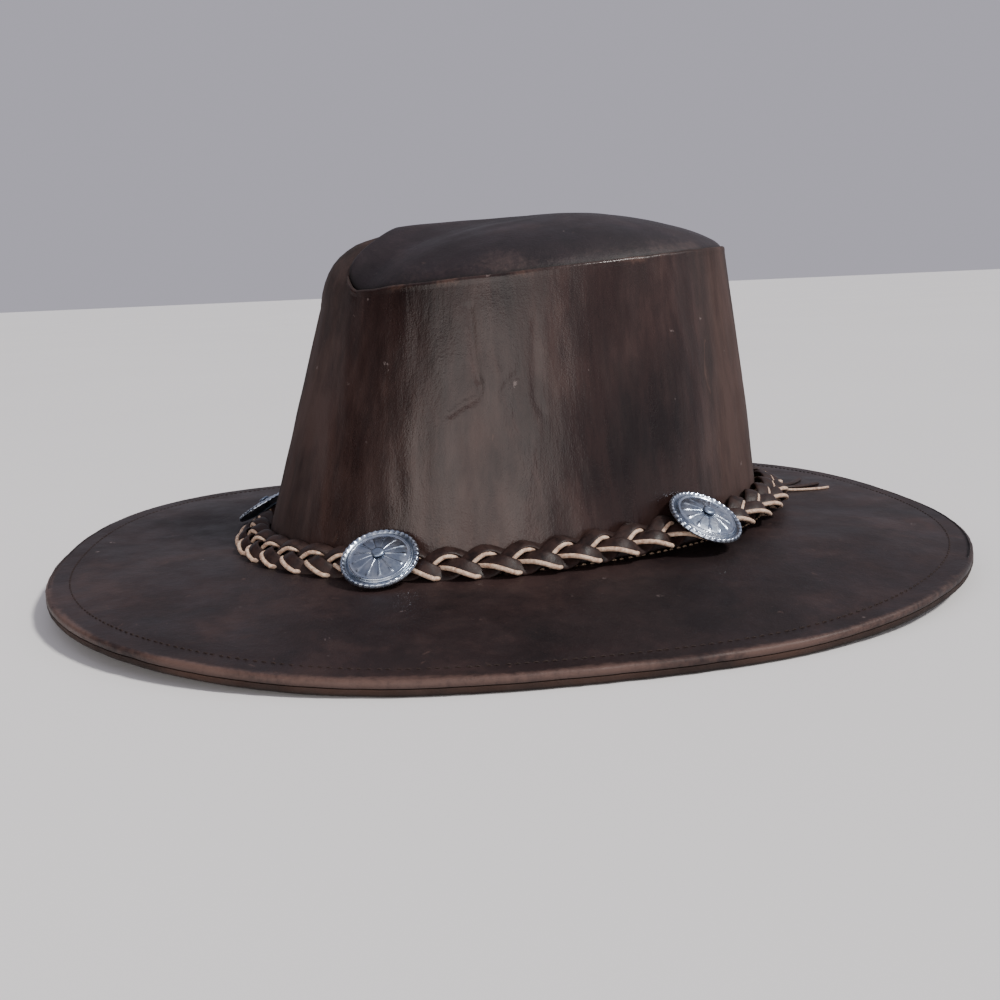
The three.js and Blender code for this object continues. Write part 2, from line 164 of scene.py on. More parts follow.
def brim_point(theta, station, inner_offset, depth):
    """station is 0 at the crown and 1 at the edge; depth is below the top surface."""
    inner = foot_point(theta, inner_offset, 0)
    point = inner + (brim_edge(theta) - inner) * np.asarray(station)[..., None]
    point[..., 2] = brim_top_z(theta, station) - depth
    return point


def peak(theta):
    """How far the wall is drawn up into its front peak: 1 at the front, 0 at the sides and back."""
    from_front = np.abs(180 - np.abs(np.degrees(theta)))
    return 1 - smoothstep(from_front, PEAK_FLAT, PEAK_HALF_SPREAD)


def rim_point(theta, rise, backset):
    lift = peak(theta)
    return points_of(
        RIM_HALF_WIDTH * np.sin(theta),
        CROWN_CENTRE_Y + RIM_BACKSET + RIM_HALF_LENGTH * np.cos(theta)
        + backset * lift**PEAK_BACK_POWER,
        FOOT_Z + RIM_HEIGHT + RIM_TILT * np.cos(theta) + rise * lift**PEAK_RISE_POWER,
    )


def wall_point(theta, station):
    """Outer surface of the crown's side, from 0 at the foot to 1 at the rim."""
    foot = foot_point(theta, 0, 0)
    low_rim = rim_point(theta, 0, 0)
    straight = foot + (low_rim - foot) * np.asarray(station)[..., None]
    start = foot + (low_rim - foot) * SHOULDER_START
    corner = foot + (low_rim - foot) * (SHOULDER_START + 1) / 2
    corner[..., 1] += SHOULDER_BACKSET * peak(theta)
    corner[..., 2] += SHOULDER_RISE * peak(theta)
    t = np.clip((station - SHOULDER_START) / (1 - SHOULDER_START), 0, 1)[..., None]
    rim = rim_point(theta, PEAK_RISE, PEAK_BACKSET)
    bend = start * (1 - t) ** 2 + corner * 2 * t * (1 - t) + rim * t**2
    return np.where(np.asarray(station)[..., None] > SHOULDER_START, bend, straight)


def inward_normal(theta, station):
    inward = -foot_normal(theta)
    inward[..., 2] = -2 * peak(theta) * smoothstep(station, SHOULDER_START, 1)
    return unit(inward)


def tip_point(theta, station, height):
    rim = rim_point(theta, PEAK_RISE, PEAK_BACKSET)
    under = rim[..., 2] + GAP
    crest = FOOT_Z + CREST_HEIGHT - LEATHER
    dome = np.clip(1 - station**2, 0, 1) ** DOME_POWER
    return points_of(
        rim[..., 0] * station,
        CREST_Y + (rim[..., 1] - CREST_Y) * station,
        under + (crest - under) * dome + height,
    )


# ---- The band's line and axes ----

def band_centre(theta):
    rise = BAND_BACK_RISE * smoothstep(np.cos(theta), BAND_RISE_FROM, BAND_RISE_TO)
    return foot_point(theta, BAND_OUT, BAND_UP + rise)


class BandLine:
    """The middle line of the band, by its share of the length from the back, by way of +X."""

    def __init__(self):
        self.theta = np.linspace(0, 2 * np.pi, 4001)
        steps = np.linalg.norm(np.diff(band_centre(self.theta), axis=0), axis=1)
        self.length = steps.sum()
        self.share = np.concatenate([[0], np.cumsum(steps)]) / self.length

    def theta_at(self, along):
        return np.interp(np.mod(along, 1), self.share, self.theta)

    def axes(self, along):
        """Unit vectors along the band, across it towards the brim, and out of its face."""
        outward = foot_normal(self.theta_at(along))
        upward = np.array([0, 0, 1.0])
        across = outward * math.cos(BAND_LEAN) - upward * math.sin(BAND_LEAN)
        face = outward * math.sin(BAND_LEAN) + upward * math.cos(BAND_LEAN)
        return np.cross(across, face), across, face

    def point(self, along, lateral, height):
        _, across, face = self.axes(along)
        centre = band_centre(self.theta_at(along))
        sideways = across * np.asarray(lateral)[..., None]
        return centre + sideways + face * np.asarray(height)[..., None]


BAND = BandLine()


def band_matrix(along, lateral, height, lean):
    """The frame of a part on the band, which may lean back along the band."""
    forward, across, face = (Vector(axis) for axis in BAND.axes(np.array(along)))
    place = Matrix((forward, across, face)).transposed().to_4x4()
    place.translation = Vector(BAND.point(np.array(along), lateral, 0))
    return place @ Matrix.Rotation(-lean, 4, "Y") @ Matrix.Translation((0, 0, height))


def direction(azimuth, elevation):
    """A unit vector from the hat, by degrees; azimuth 0 is the front, 90 the wearer's left."""
    azimuth, elevation = math.radians(azimuth), math.radians(elevation)
    return Vector((math.sin(azimuth) * math.cos(elevation),
                   -math.cos(azimuth) * math.cos(elevation), math.sin(elevation)))


# ---- Camera ----

CAMERA_AT = (0.45432, -0.06863, 0.11145)
CAMERA_AZIMUTH = 81.512
CAMERA_ELEVATION = 11.264
CAMERA_ROLL = math.radians(-2.484)
CAMERA_LENS = 38.472


def add_camera():
    back = direction(CAMERA_AZIMUTH, CAMERA_ELEVATION)
    right = (-back).cross(Vector((0, 0, 1))).normalized()
    up = right.cross(-back)
    cosine, sine = math.cos(CAMERA_ROLL), math.sin(CAMERA_ROLL)
    place = Matrix((right * cosine + up * sine, up * cosine - right * sine, back)).transposed().to_4x4()
    place.translation = Vector(CAMERA_AT)
    data = bpy.data.cameras.new("camera")
    data.lens = CAMERA_LENS
    data.sensor_width = 36
    camera = bpy.data.objects.new("camera", data)
    camera.matrix_world = place
    bpy.context.scene.collection.objects.link(camera)
    bpy.context.scene.camera = camera


add_camera()

# ---- Materials ----

class Nodes:
    """A material's node tree, with one short call for each node."""

    def __init__(self, name):
        self.material = bpy.data.materials.new(name)
        self.material.use_nodes = True
        self.tree = self.material.node_tree
        self.shader = self.tree.nodes["Principled BSDF"]
        coordinates = self.tree.nodes.new("ShaderNodeTexCoord")
        self.place = coordinates.outputs["Object"]

    def link(self, output, target):
        self.tree.links.new(output, target)

    def add(self, kind, **constants):
        """A new node; constants name its sockets, with _ for a space."""
        node = self.tree.nodes.new("ShaderNode" + kind)
        for socket, value in constants.items():
            node.inputs[socket.replace("_", " ")].default_value = value
        return node

    def scaled(self, scale):
        node = self.add("Mapping", Scale=scale)
        self.link(self.place, node.inputs["Vector"])
        return node.outputs["Vector"]

    def noise(self, scale, detail=4, roughness=0.55, stretch=(1, 1, 1), distortion=0.0):
        node = self.add("TexNoise", Scale=scale, Detail=detail, Roughness=roughness,
                        Distortion=distortion)
        self.link(self.scaled(stretch), node.inputs["Vector"])
        return node.outputs["Fac"]

    def cells(self, scale):
        node = self.add("TexVoronoi", Scale=scale)
        self.link(self.place, node.inputs["Vector"])
        return node.outputs["Distance"]

    def grazing(self):
        return self.add("LayerWeight").outputs["Facing"]

    def attribute(self, name):
        node = self.add("Attribute")
        node.attribute_name = name
        return node.outputs["Fac"]

    def span(self, value, low, high, to_low=0.0, to_high=1.0):
        node = self.add("MapRange", From_Min=low, From_Max=high, To_Min=to_low, To_Max=to_high)
        node.interpolation_type = "SMOOTHSTEP"
        self.link(value, node.inputs["Value"])
        return node.outputs["Result"]

    def math(self, operation, first, second):
        node = self.add("Math")
        node.operation = operation
        for socket, value in zip(node.inputs, (first, second)):
            if isinstance(value, (int, float)):
                socket.default_value = value
            else:
                self.link(value, socket)
        return node.outputs["Value"]

    def ramp(self, value, stops):
        node = self.add("ValToRGB")
        ramp = node.color_ramp
        while len(ramp.elements) < len(stops):
            ramp.elements.new(0.5)
        for element, (position, colour) in zip(ramp.elements, stops):
            element.position = position
            element.color = (*colour, 1)
        self.link(value, node.inputs["Fac"])
        return node.outputs["Color"]

    def mix(self, share, first, second):
        node = self.add("Mix")
        node.data_type = "RGBA"
        self.link(share, node.inputs["Factor"])
        for socket, value in ((node.inputs[6], first), (node.inputs[7], second)):
            if isinstance(value, tuple):
                socket.default_value = (*value, 1)
            else:
                self.link(value, socket)
        return node.outputs[2]

    def relief(self, height, distance, strength=1.0, under=None):
        node = self.add("Bump", Distance=distance, Strength=strength)
        self.link(height, node.inputs["Height"])
        if under is not None:
            self.link(under, node.inputs["Normal"])
        return node.outputs["Normal"]

    def finish(self, colour, roughness, normal=None, **constants):
        """Joins the shader's sockets; constants are set on the sockets themselves."""
        self.link(colour, self.shader.inputs["Base Color"])
        if isinstance(roughness, float):
            self.shader.inputs["Roughness"].default_value = roughness
        else:
            self.link(roughness, self.shader.inputs["Roughness"])
        if normal is not None:
            self.link(normal, self.shader.inputs["Normal"])
        for socket, value in constants.items():
            self.shader.inputs[socket.replace("_", " ")].default_value = value
        return self.material


# Near-black colour of the painted shade that is mixed into crevices and shadowed edges.
PAINTED_SHADE_COLOUR = (0.004, 0.003, 0.003)
FLECK_COLOUR = (0.26, 0.21, 0.20)


def top_leather(name, deep, middle, light, worn, stretch, gloss, specular, edge_rough=0):
    """Oiled full-grain leather: mottled dyed colour, streaks, worn edges, fine pores, and painted shade
    in crevices and along shadowed edges.

    stretch draws the mottling out along an axis; edge_rough dulls the gloss at grazing angles.
    """
    n = Nodes(name)
    mottle = n.noise(34, 6, 0.62, stretch, 0.4)
    blotch = n.noise(15, 4, 0.6)
    fibre = n.noise(230, 4, 0.7, (stretch[0], stretch[1], stretch[2] * 0.45))
    tone = n.math("ADD", n.math("MULTIPLY", mottle, 0.5), n.math("MULTIPLY", blotch, 0.34))
    tone = n.math("ADD", tone, n.math("MULTIPLY", fibre, 0.16))
    colour = n.ramp(tone, [(0.39, deep), (0.5, middle), (0.61, light)])
    rub = n.noise(420, 5, 0.7)
    wear = n.math("ADD", n.attribute("wear"), n.math("MULTIPLY", n.math("SUBTRACT", rub, 0.5), 0.9))
    colour = n.mix(n.math("MULTIPLY", n.span(wear, 0.35, 1.0), 0.85), colour, worn)
    scratches = n.span(n.noise(160, 2, 0.5, (1, 1, 0.3), 1.5), 0.715, 0.76)
    colour = n.mix(n.math("MULTIPLY", scratches, 0.3), colour, worn)
    fleck_places = n.span(n.noise(150, 1, 0.5), 0.76, 0.775)
    flecks = n.math("MULTIPLY", fleck_places, n.span(n.noise(900, 2), 0.52, 0.58))
    colour = n.mix(n.math("MULTIPLY", flecks, 0.35), colour, FLECK_COLOUR)
    # Painted shade: the colour darkens to near black where the mesh's weight marks a crevice or a
    # shadowed edge.
    colour = n.mix(n.attribute("painted_shade"), colour, PAINTED_SHADE_COLOUR)
    roughness = n.span(n.noise(60, 5, 0.6, stretch), 0.3, 0.7, gloss, gloss + 0.14)
    if edge_rough > 0:
        roughness = n.math("ADD", roughness, n.span(n.grazing(), 0.3, 0.62, 0, edge_rough))
    pores = n.relief(n.cells(1500), 0.00012, 0.3)
    pores = n.relief(n.noise(330, 4, 0.7, (1, 1, stretch[2] * 0.4)), 0.0004, 0.35, pores)
    grain = n.relief(n.noise(520, 4, 0.6), 0.0003, 0.25, pores)
    creases = n.relief(n.noise(70, 5, 0.65, stretch, 1.2), 0.0011, 0.22, grain)
    return n.finish(colour, roughness, creases, Specular_IOR_Level=specular)


def raw_leather(name, deep, light, worn):
    """The flesh side: matt, fibrous, warmer brown, with painted shade along shadowed edges."""
    n = Nodes(name)
    colour = n.ramp(n.noise(120, 6, 0.7), [(0.3, deep), (0.7, light)])
    colour = n.mix(n.span(n.attribute("wear"), 0.3, 0.95), colour, worn)
    # Painted shade: the colour darkens to near black where the mesh's weight marks a shadowed edge.
    colour = n.mix(n.attribute("painted_shade"), colour, PAINTED_SHADE_COLOUR)
    nap = n.relief(n.noise(1800, 3, 0.7), 0.0004, 0.5)
    folds = n.relief(n.noise(90, 4, 0.6), 0.001, 0.25, nap)
    return n.finish(colour, n.span(n.noise(200), 0.3, 0.7, 0.75, 0.9), folds, Specular_IOR_Level=0.3)


def rope_material(name, dark, light, roughness, fibre, specular):
    """Twisted or rolled lace: fine fibre bumps, and a darker tone in random patches."""
    n = Nodes(name)
    colour = n.ramp(n.noise(fibre, 5, 0.65), [(0.32, dark), (0.6, light)])
    twist = n.relief(n.noise(fibre * 2.2, 3, 0.6), 0.0003, 0.45)
    uneven = n.span(n.noise(fibre), 0.3, 0.7, roughness - 0.1, roughness + 0.1)
    return n.finish(colour, uneven, twist, Specular_IOR_Level=specular)


def silver_material(name, bright, shade, tarnish, roughness):
    """Stamped silver: polished high places, a blue-grey darker tone, dark tarnish in the cuts; the
    blue-grey of both tones is a painted sky reflection.
    """
    n = Nodes(name)
    cloud = n.noise(260, 4, 0.6)
    colour = n.mix(n.span(cloud, 0.35, 0.7), shade, bright)
    colour = n.mix(n.attribute("tarnish"), colour, tarnish)
    rough = n.math("ADD", n.span(n.noise(900, 3), 0.3, 0.7, roughness, roughness + 0.1),
                   n.math("MULTIPLY", n.attribute("tarnish"), 0.25))
    dents = n.relief(n.noise(420, 3, 0.5), 0.0002, 0.25)
    return n.finish(colour, rough, dents, Metallic=1.0)


MATERIALS = {
    "wall": top_leather("crown_leather", (0.0070, 0.0031, 0.0030), (0.023, 0.0116, 0.0102),
                        (0.054, 0.030, 0.0255), (0.10, 0.055, 0.041), (1, 1, 0.2), 0.25, 0.38, 0.6),
    "tip": top_leather("tip_leather", (0.0072, 0.0047, 0.0062), (0.0135, 0.0088, 0.0112),
                       (0.025, 0.0163, 0.0185), (0.06, 0.04, 0.037), (1, 1, 1), 0.5, 0.3),
    "brim": top_leather("brim_leather", (0.0070, 0.0037, 0.0043), (0.0150, 0.0080, 0.0083),
                        (0.031, 0.0168, 0.0155), (0.102, 0.060, 0.049), (1, 1, 1), 0.5, 0.3),
    "under": raw_leather("under_leather", (0.010, 0.005, 0.004), (0.030, 0.0155, 0.0115),
                         (0.105, 0.055, 0.04)),
    "lining": raw_leather("lining_leather", (0.10, 0.055, 0.03), (0.19, 0.115, 0.065),
                          (0.27, 0.17, 0.1)),
    "strand": rope_material("strand_leather", (0.007, 0.0032, 0.003), (0.027, 0.0125, 0.010),
                            0.55, 260, 0.3),
    "lace": rope_material("rawhide_lace", (0.33, 0.19, 0.13), (0.66, 0.50, 0.38), 0.55, 700, 0.4),
    "thread": rope_material("dark_thread", (0.011, 0.007, 0.0068), (0.034, 0.022, 0.019),
                            0.7, 2400, 0.2),
    "pale_thread": rope_material("pale_thread", (0.20, 0.13, 0.09), (0.42, 0.31, 0.22),
                                 0.6, 2400, 0.3),
    # The silver and clip colours are grey metal tinted blue and darkened as a painted reflection of a
    # blue sky.
    "silver": silver_material("stamped_silver", (0.58, 0.64, 0.72), (0.34, 0.41, 0.52),
                              (0.04, 0.055, 0.09), 0.2),
    "steel": silver_material("clip_metal", (0.34, 0.41, 0.52), (0.22, 0.28, 0.38),
                             (0.05, 0.06, 0.09), 0.3),
}

# ---- Making meshes ----

def add_mesh(name, vertices, faces, material, body, nodes=(), slot=None, weights=None):
    """Adds a closed smooth mesh, with named weights for its material, to a moving body."""
    mesh = bpy.data.meshes.new(name)
    faces = faces.tolist() if isinstance(faces, np.ndarray) else faces
    mesh.from_pydata(np.asarray(vertices).reshape(-1, 3).tolist(), [], faces)
    solid = bmesh.new()
    solid.from_mesh(mesh)
    bmesh.ops.recalc_face_normals(solid, faces=solid.faces)
    solid.to_mesh(mesh)
    solid.free()
    mesh.polygons.foreach_set("use_smooth", np.ones(len(mesh.polygons), bool))
    for label, values in (weights or {}).items():
        layer = mesh.attributes.new(label, "FLOAT", "POINT")
        layer.data.foreach_set("value", np.asarray(values, np.float32).ravel())
    mesh.materials.append(MATERIALS[material])
    piece = bpy.data.objects.new(name, mesh)
    bpy.context.scene.collection.objects.link(piece)
    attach(piece, body)
    if nodes:
        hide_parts(*nodes)
    return piece


def grid_faces(rows, columns, wrap_rows=True, wrap_columns=True):
    row = np.arange(rows if wrap_rows else rows - 1)[:, None]
    column = np.arange(columns if wrap_columns else columns - 1)[None, :]
    next_row = (row + 1) % rows
    next_column = (column + 1) % columns
    corners = [row * columns + column, row * columns + next_column,
               next_row * columns + next_column, next_row * columns + column]
    return np.stack([np.broadcast_to(c, (row.size, column.size)) for c in corners], -1).reshape(-1, 4)


def end_faces(rows, columns):
    """The faces that close a grid's first and last rows."""
    return [list(range(first, first + columns)) for first in (0, (rows - 1) * columns)]


def fan_faces(rows, columns):
    """Triangles from a grid's first and last columns to the two centre points that follow it."""
    faces, centre = [], rows * columns
    for row in range(rows):
        here, after = row * columns, (row + 1) % rows * columns
        faces.append([here, after, centre])
        faces.append([here + columns - 1, after + columns - 1, centre + 1])
    return faces


def tube_sections(path, up, profile):
    """The section profile of (side, up) pairs, placed at each point of the path."""
    tangent = unit(np.gradient(path, axis=0))
    side = unit(np.cross(tangent, up))
    normal = np.cross(side, tangent)
    profile = np.asarray(profile)
    if profile.ndim == 2:
        profile = np.broadcast_to(profile, (len(path), *profile.shape))
    return path[:, None] + side[:, None] * profile[..., :1] + normal[:, None] * profile[..., 1:]


def oval_profile(half_width, half_height, sides, power=1.0):
    angle = np.arange(sides) * 2 * np.pi / sides
    cosine, sine = np.cos(angle), np.sin(angle)
    return np.stack([half_width * np.sign(cosine) * np.abs(cosine) ** power,
                     half_height * np.sign(sine) * np.abs(sine) ** power], -1)


# A tube's rounded end, from its tip: each ring's share of the section, and its reach past the path.
CAP_RINGS = [(0.35, 0.9), (0.75, 0.6)]


def capped_tube(path, up, profile):
    """Vertices and faces of a tube with rounded ends."""
    sections = tube_sections(path, up, profile)
    columns = sections.shape[1]
    tangent = unit(np.gradient(path, axis=0))
    reach = np.linalg.norm(sections[0] - path[0], axis=-1).min()
    rings = []
    for shrink, forward in CAP_RINGS:
        rings.append(path[0] + (sections[0] - path[0]) * shrink - tangent[0] * reach * forward)
    rings.extend(sections)
    for shrink, forward in reversed(CAP_RINGS):
        rings.append(path[-1] + (sections[-1] - path[-1]) * shrink + tangent[-1] * reach * forward)
    rings = np.array(rings)
    faces = grid_faces(len(rings), columns, wrap_rows=False).tolist()
    return rings.reshape(-1, 3), faces + end_faces(len(rings), columns)


def join_parts(parts):
    vertices, faces, start = [], [], 0
    for part_vertices, part_faces in parts:
        vertices.append(part_vertices)
        faces.extend([[index + start for index in face] for face in part_faces])
        start += len(part_vertices)
    return np.concatenate(vertices), faces


def add_parts(name, parts, *settings):
    vertices, faces = join_parts(parts)
    return add_mesh(name, vertices, faces, *settings)


# ---- Loose ends behind the tie, the cords of the hat ----

# A route lists degrees round the brim, the station, and the height above the brim's top.
LACE_TAIL = [(1.65, 0.172, 4.3), (1.65, 0.209, 2.6), (1.64, 0.254, 1.1), (1.23, 0.345, 0.9),
             (0.35, 0.442, 0.9), (-0.66, 0.519, 0.9), (-1.83, 0.582, 0.9)]
STRAND_TAILS = [
    [(-0.44, 0.172, 4.3), (-0.48, 0.209, 2.7), (-0.55, 0.254, 1.5),
     (-1.23, 0.345, 1.3), (-2.55, 0.436, 1.3), (-5.15, 0.564, 1.3)],
    [(-2.52, 0.173, 4.3), (-2.75, 0.209, 2.7), (-3.05, 0.254, 1.5),
     (-4.29, 0.334, 1.3), (-6.3, 0.408, 1.3), (-9.92, 0.526, 1.3)],
]
TAIL_POINTS = 24
SPLINE_STEPS = 24


def smooth_route(route, count):
    """Catmull-Rom points through the route, evenly spaced by length, and that length."""
    degrees, station, height = np.array(route).T
    route = brim_point(np.radians(degrees), station, GAP, -height * MM)
    padded = np.concatenate([[2 * route[0] - route[1]], route, [2 * route[-1] - route[-2]]])
    fine = []
    for index in range(1, len(padded) - 2):
        a, b, c, d = padded[index - 1:index + 3]
        for t in np.linspace(0, 1, SPLINE_STEPS, endpoint=False):
            fine.append(0.5 * (2 * b + (c - a) * t + (2 * a - 5 * b + 4 * c - d) * t**2
                               + (3 * b - a - 3 * c + d) * t**3))
    fine.append(route[-1])
    fine = np.array(fine)
    share = np.concatenate([[0], np.cumsum(np.linalg.norm(np.diff(fine, axis=0), axis=1))])
    steps = np.linspace(0, share[-1], count)
    return np.stack([np.interp(steps, share, fine[:, axis]) for axis in range(3)], -1), share[-1]


def add_tail(name, route, profile, material, node, slot):
    path, length = smooth_route(route, TAIL_POINTS)
    vertices, faces = capped_tube(path, np.array([0, 0, 1.0]), profile)
    piece = add_mesh(name, vertices, faces, material, "hatband", [node], slot)


add_tail("lace_tail_end", LACE_TAIL, oval_profile(0.6 * MM, 0.6 * MM, 10), "lace",
         "lace_tail", "rawhide_lace")
for number, tail_route in enumerate(STRAND_TAILS, 1):
    add_tail(f"strand_tail_end_{number}", tail_route, oval_profile(1.3 * MM, 0.85 * MM, 12),
             "strand", f"strand_tail_{number}", "strand_leather")

# ---- Brim: two layers with rounded, worn edges ----

BRIM_SEGMENTS = 480
LAST_BRIM_STATION = 0.985
TOP_EDGE_RADIUS = 1.3 * MM
BOTTOM_EDGE_RADIUS = 1.2 * MM
PARTING_RADIUS = 0.08 * MM


def brim_section(over_radius, under_radius):
    """Rows of (station, distance in from the edge, share of the thickness) round a layer."""
    rows = [(station, 0.0, 0.0) for station in np.linspace(0, LAST_BRIM_STATION, 52)]
    for turn in np.linspace(0, math.pi / 2, 5):
        depth = over_radius * (1 - math.cos(turn))
        rows.append((1, over_radius * (1 - math.sin(turn)), depth / LEATHER))
    for turn in np.linspace(0, math.pi / 2, 5):
        depth = under_radius * (1 - math.sin(turn))
        rows.append((1, under_radius * (1 - math.cos(turn)), 1 - depth / LEATHER))
    rows += [(station, 0.0, 1.0) for station in np.linspace(LAST_BRIM_STATION, 0, 26)]
    return np.array(rows)


def brim_sag(point):
    """The brim's own waviness, long and short."""
    level = point * [1, 1, 0]
    return ripple(level, 55 * MM, 3) * 0.45 * MM + ripple(level, 14 * MM, 5) * 0.1 * MM


def add_brim_layer(name, node, inner_offset, top_depth, step_down, material, slot):
    """One layer of the brim; step_down lowers its inner part to clear the crown's flange."""
    is_top = top_depth == 0
    theta = np.arange(BRIM_SEGMENTS)[:, None] * 2 * np.pi / BRIM_SEGMENTS
    radii = (TOP_EDGE_RADIUS, PARTING_RADIUS) if is_top else (PARTING_RADIUS, BOTTOM_EDGE_RADIUS)
    section = brim_section(*radii)[None, :, :]
    shape = (BRIM_SEGMENTS, section.shape[1])
    station, inset, share = (np.broadcast_to(section[..., k], shape) for k in range(3))
    theta = np.broadcast_to(theta, shape)
    spread = step_down * (1 - smoothstep(station, BRIM_FLAT_IN, 2 * BRIM_FLAT_IN))
    point = brim_point(theta, station, inner_offset, top_depth + share * LEATHER + spread)
    outwards = brim_edge(theta) - foot_point(theta, inner_offset, 0)
    outwards[..., 2] = 0
    width = np.linalg.norm(outwards, axis=-1)
    point -= outwards / width[..., None] * inset[..., None]
    from_edge = width * (1 - station) + inset
    free = smoothstep(from_edge, 4 * MM, 30 * MM) * smoothstep(station, 0.04, 0.3)
    point[..., 2] += brim_sag(point) * free
    if is_top:
        channel = bump(station, EDGE_THREAD_STATION, 0.01)
        channel += 0.3 * bump(station, EDGE_THREAD_STATION, 0.03)
        point[..., 2] -= channel * 0.28 * MM * (1 - share)
    ragged = ripple(point, 5 * MM, 8) * 0.12 * MM + ripple(point, 18 * MM, 9) * 0.15 * MM
    point -= outwards / width[..., None] * (np.abs(ragged) * bump(from_edge, 0, 2 * MM))[..., None]
    worn = 0.56 + 0.33 * smoothstep(np.sin(theta), -0.2, 0.7)
    worn -= 0.3 * smoothstep(point[..., 1], 30 * MM, 120 * MM)
    wear = bump(from_edge, 0, 2.6 * MM) * worn * (0.9 + 0.2 * ripple(point, 30 * MM, 12))
    inner_wear = 0.35 * bump(from_edge, 3.5 * MM, 2 * MM)
    wear += inner_wear * worn * (0.8 + 0.5 * ripple(point, 30 * MM, 13))
    # Painted shade: the top layer darkens at its lower edge, in the crevice against the under layer.
    painted_shade = 0.5 * smoothstep(share, 0.8, 1) * bump(from_edge, 0, 2 * MM)
    if not is_top:
        wear *= 0.55
        # Painted shadow: the under layer's edge darkens towards its lower face.
        painted_shade = 0.8 * smoothstep(share, 0.3, 0.9) * bump(from_edge, 0, 3 * MM)
    return add_mesh(name, point, grid_faces(*shape), material, "hat", [node], slot,
                    {"wear": np.clip(wear, 0, 1), "painted_shade": painted_shade})


add_brim_layer("brim_top_leather", "brim_top_layer", GAP, 0, 0, "brim", "top_leather")
add_brim_layer("brim_under_leather", "brim_under_layer", -LEATHER, LEATHER + GAP,
               FLANGE_THICKNESS + GAP, "under", "under_leather")

# ---- Crown wall: outer and inner faces, and the flange that is sewn into the brim ----

CROWN_SEGMENTS = 600

# Creases in the near side of the wall: (theta in degrees, station) along each, depth and half width.
CREASES = [
    ([(114, 0.55), (111.2, 0.58), (107.9, 0.60), (107.2, 0.635), (107.8, 0.665)], 0.5 * MM, 0.9 * MM),
    ([(107.8, 0.665), (109.2, 0.73), (110, 0.80), (111.5, 0.92)], 0.42 * MM, 1.1 * MM),
    ([(102.6, 0.60), (101.6, 0.635), (99.2, 0.67)], 0.3 * MM, 1.0 * MM),
    ([(95.5, 0.85), (95, 0.585), (93.3, 0.53)], 0.3 * MM, 1.5 * MM),
    ([(103.5, 0.80), (102.9, 0.70)], 0.25 * MM, 0.8 * MM),
]


def crease_depth(theta, station, points):
    """How far the wall is pressed in, from the distance to each crease's line."""
    depth = np.zeros(theta.shape)
    for route, deepest, half_width in CREASES:
        degrees, stations = np.array(route).T
        line = wall_point(np.radians(degrees), stations)
        nearest = np.full(theta.shape, np.inf)
        for start, end in zip(line[:-1], line[1:]):
            step = end - start
            share = np.clip((points - start) @ step / (step @ step), 0, 1)
            distance = np.linalg.norm(points - start - share[..., None] * step, axis=-1)
            nearest = np.minimum(nearest, distance)
        depth += deepest * bump(nearest, 0, half_width)
    return depth


# The flange's rows: distance out from the foot line, and height.
FLANGE_ROWS = [
    (-LEATHER, FLANGE_TOP - FLANGE_THICKNESS),
    (FLANGE_WIDTH, FLANGE_TOP - FLANGE_THICKNESS),
    (FLANGE_WIDTH, FLANGE_TOP),
    (0.6 * MM, FLANGE_TOP),
    (0, FLANGE_TOP + 0.6 * MM),
]

# The wall's sewn lip that hides the tip's edge: share of the leather's thickness, rise above the rim.
LIP_ROWS = [(0, 1.3 * MM), (0.05, 1.9 * MM), (0.2, 2.4 * MM),
            (0.45, 2.6 * MM), (0.7, 2.4 * MM), (0.9, 1.8 * MM)]


def lip_row(theta, share, rise):
    """Points and wear along one row of the lip, which fades out towards the front peak."""
    rim = wall_point(theta, np.ones_like(theta))
    inward = inward_normal(theta, np.ones_like(theta))
    lift = rise * (1 - smoothstep(peak(theta), 0, 0.35)) + 0.15 * MM * ripple(rim, 8 * MM, 25)
    point = rim + inward * (share * LEATHER) + points_of(0, 0, lift)
    wear = (0.24 + 0.25 * ripple(rim, 9 * MM, 23)) * (1 - smoothstep(peak(theta), 0, 0.25))
    return point, wear


def wall_row(theta, level, depth):
    """Points and wear round the wall at one level; depth is 0 outside and 1 inside."""
    station = np.full_like(theta, level)
    point = wall_point(theta, station)
    outer = 1 - depth
    degrees_from_back = np.degrees(np.mod(theta + np.pi, 2 * np.pi) - np.pi)
    bulge = math.sin(math.pi * min(level, 0.97)) ** 0.7
    press = crease_depth(theta, station, point)
    press += 0.45 * MM * bump(degrees_from_back, 0, 0.9) * min(1, level * 30)
    press -= 0.5 * MM * ripple(point * [1, 1, 0.45], 30 * MM, 21) * bulge
    press -= 0.10 * MM * ripple(point * [1, 1, 0.3], 6 * MM, 22) * smoothstep(level, 0, 0.1)
    rub = 0.3 * bump(level, 1, 0.008) * (0.7 + 0.5 * ripple(point, 9 * MM, 23))
    low_rub = 0.62 * bump(level, 0.10, 0.11) * smoothstep(ripple(point, 11 * MM, 24), -0.4, 1.1)
    near = smoothstep(np.sin(theta), 0.2, 0.9)
    moved_in = inward_normal(theta, station) * (depth * LEATHER + press * outer)[:, None]
    return point + moved_in, np.clip((rub + low_rub * near) * outer, 0, 1)


def add_crown_wall():
    theta = np.arange(CROWN_SEGMENTS) * 2 * np.pi / CROWN_SEGMENTS
    outer_levels = np.concatenate([np.linspace(0, 0.955, 84), np.linspace(0.962, 1, 14)])
    rows = [(foot_point(theta, out, height), np.zeros_like(theta)) for out, height in FLANGE_ROWS]
    rows += [wall_row(theta, level, 0.0) for level in outer_levels]
    rows += [lip_row(theta, share, rise) for share, rise in LIP_ROWS]
    rows += [wall_row(theta, level, 1.0) for level in np.linspace(1, 0, 44)]
    points, wears = (np.stack(columns, axis=1) for columns in zip(*rows))
    return add_mesh("crown_wall", points, grid_faces(CROWN_SEGMENTS, len(rows)), "wall", "hat",
                    ["crown_side"], "top_leather", {"wear": wears})


add_crown_wall()

# ---- Crown tip: a domed panel that turns down inside the lip ----

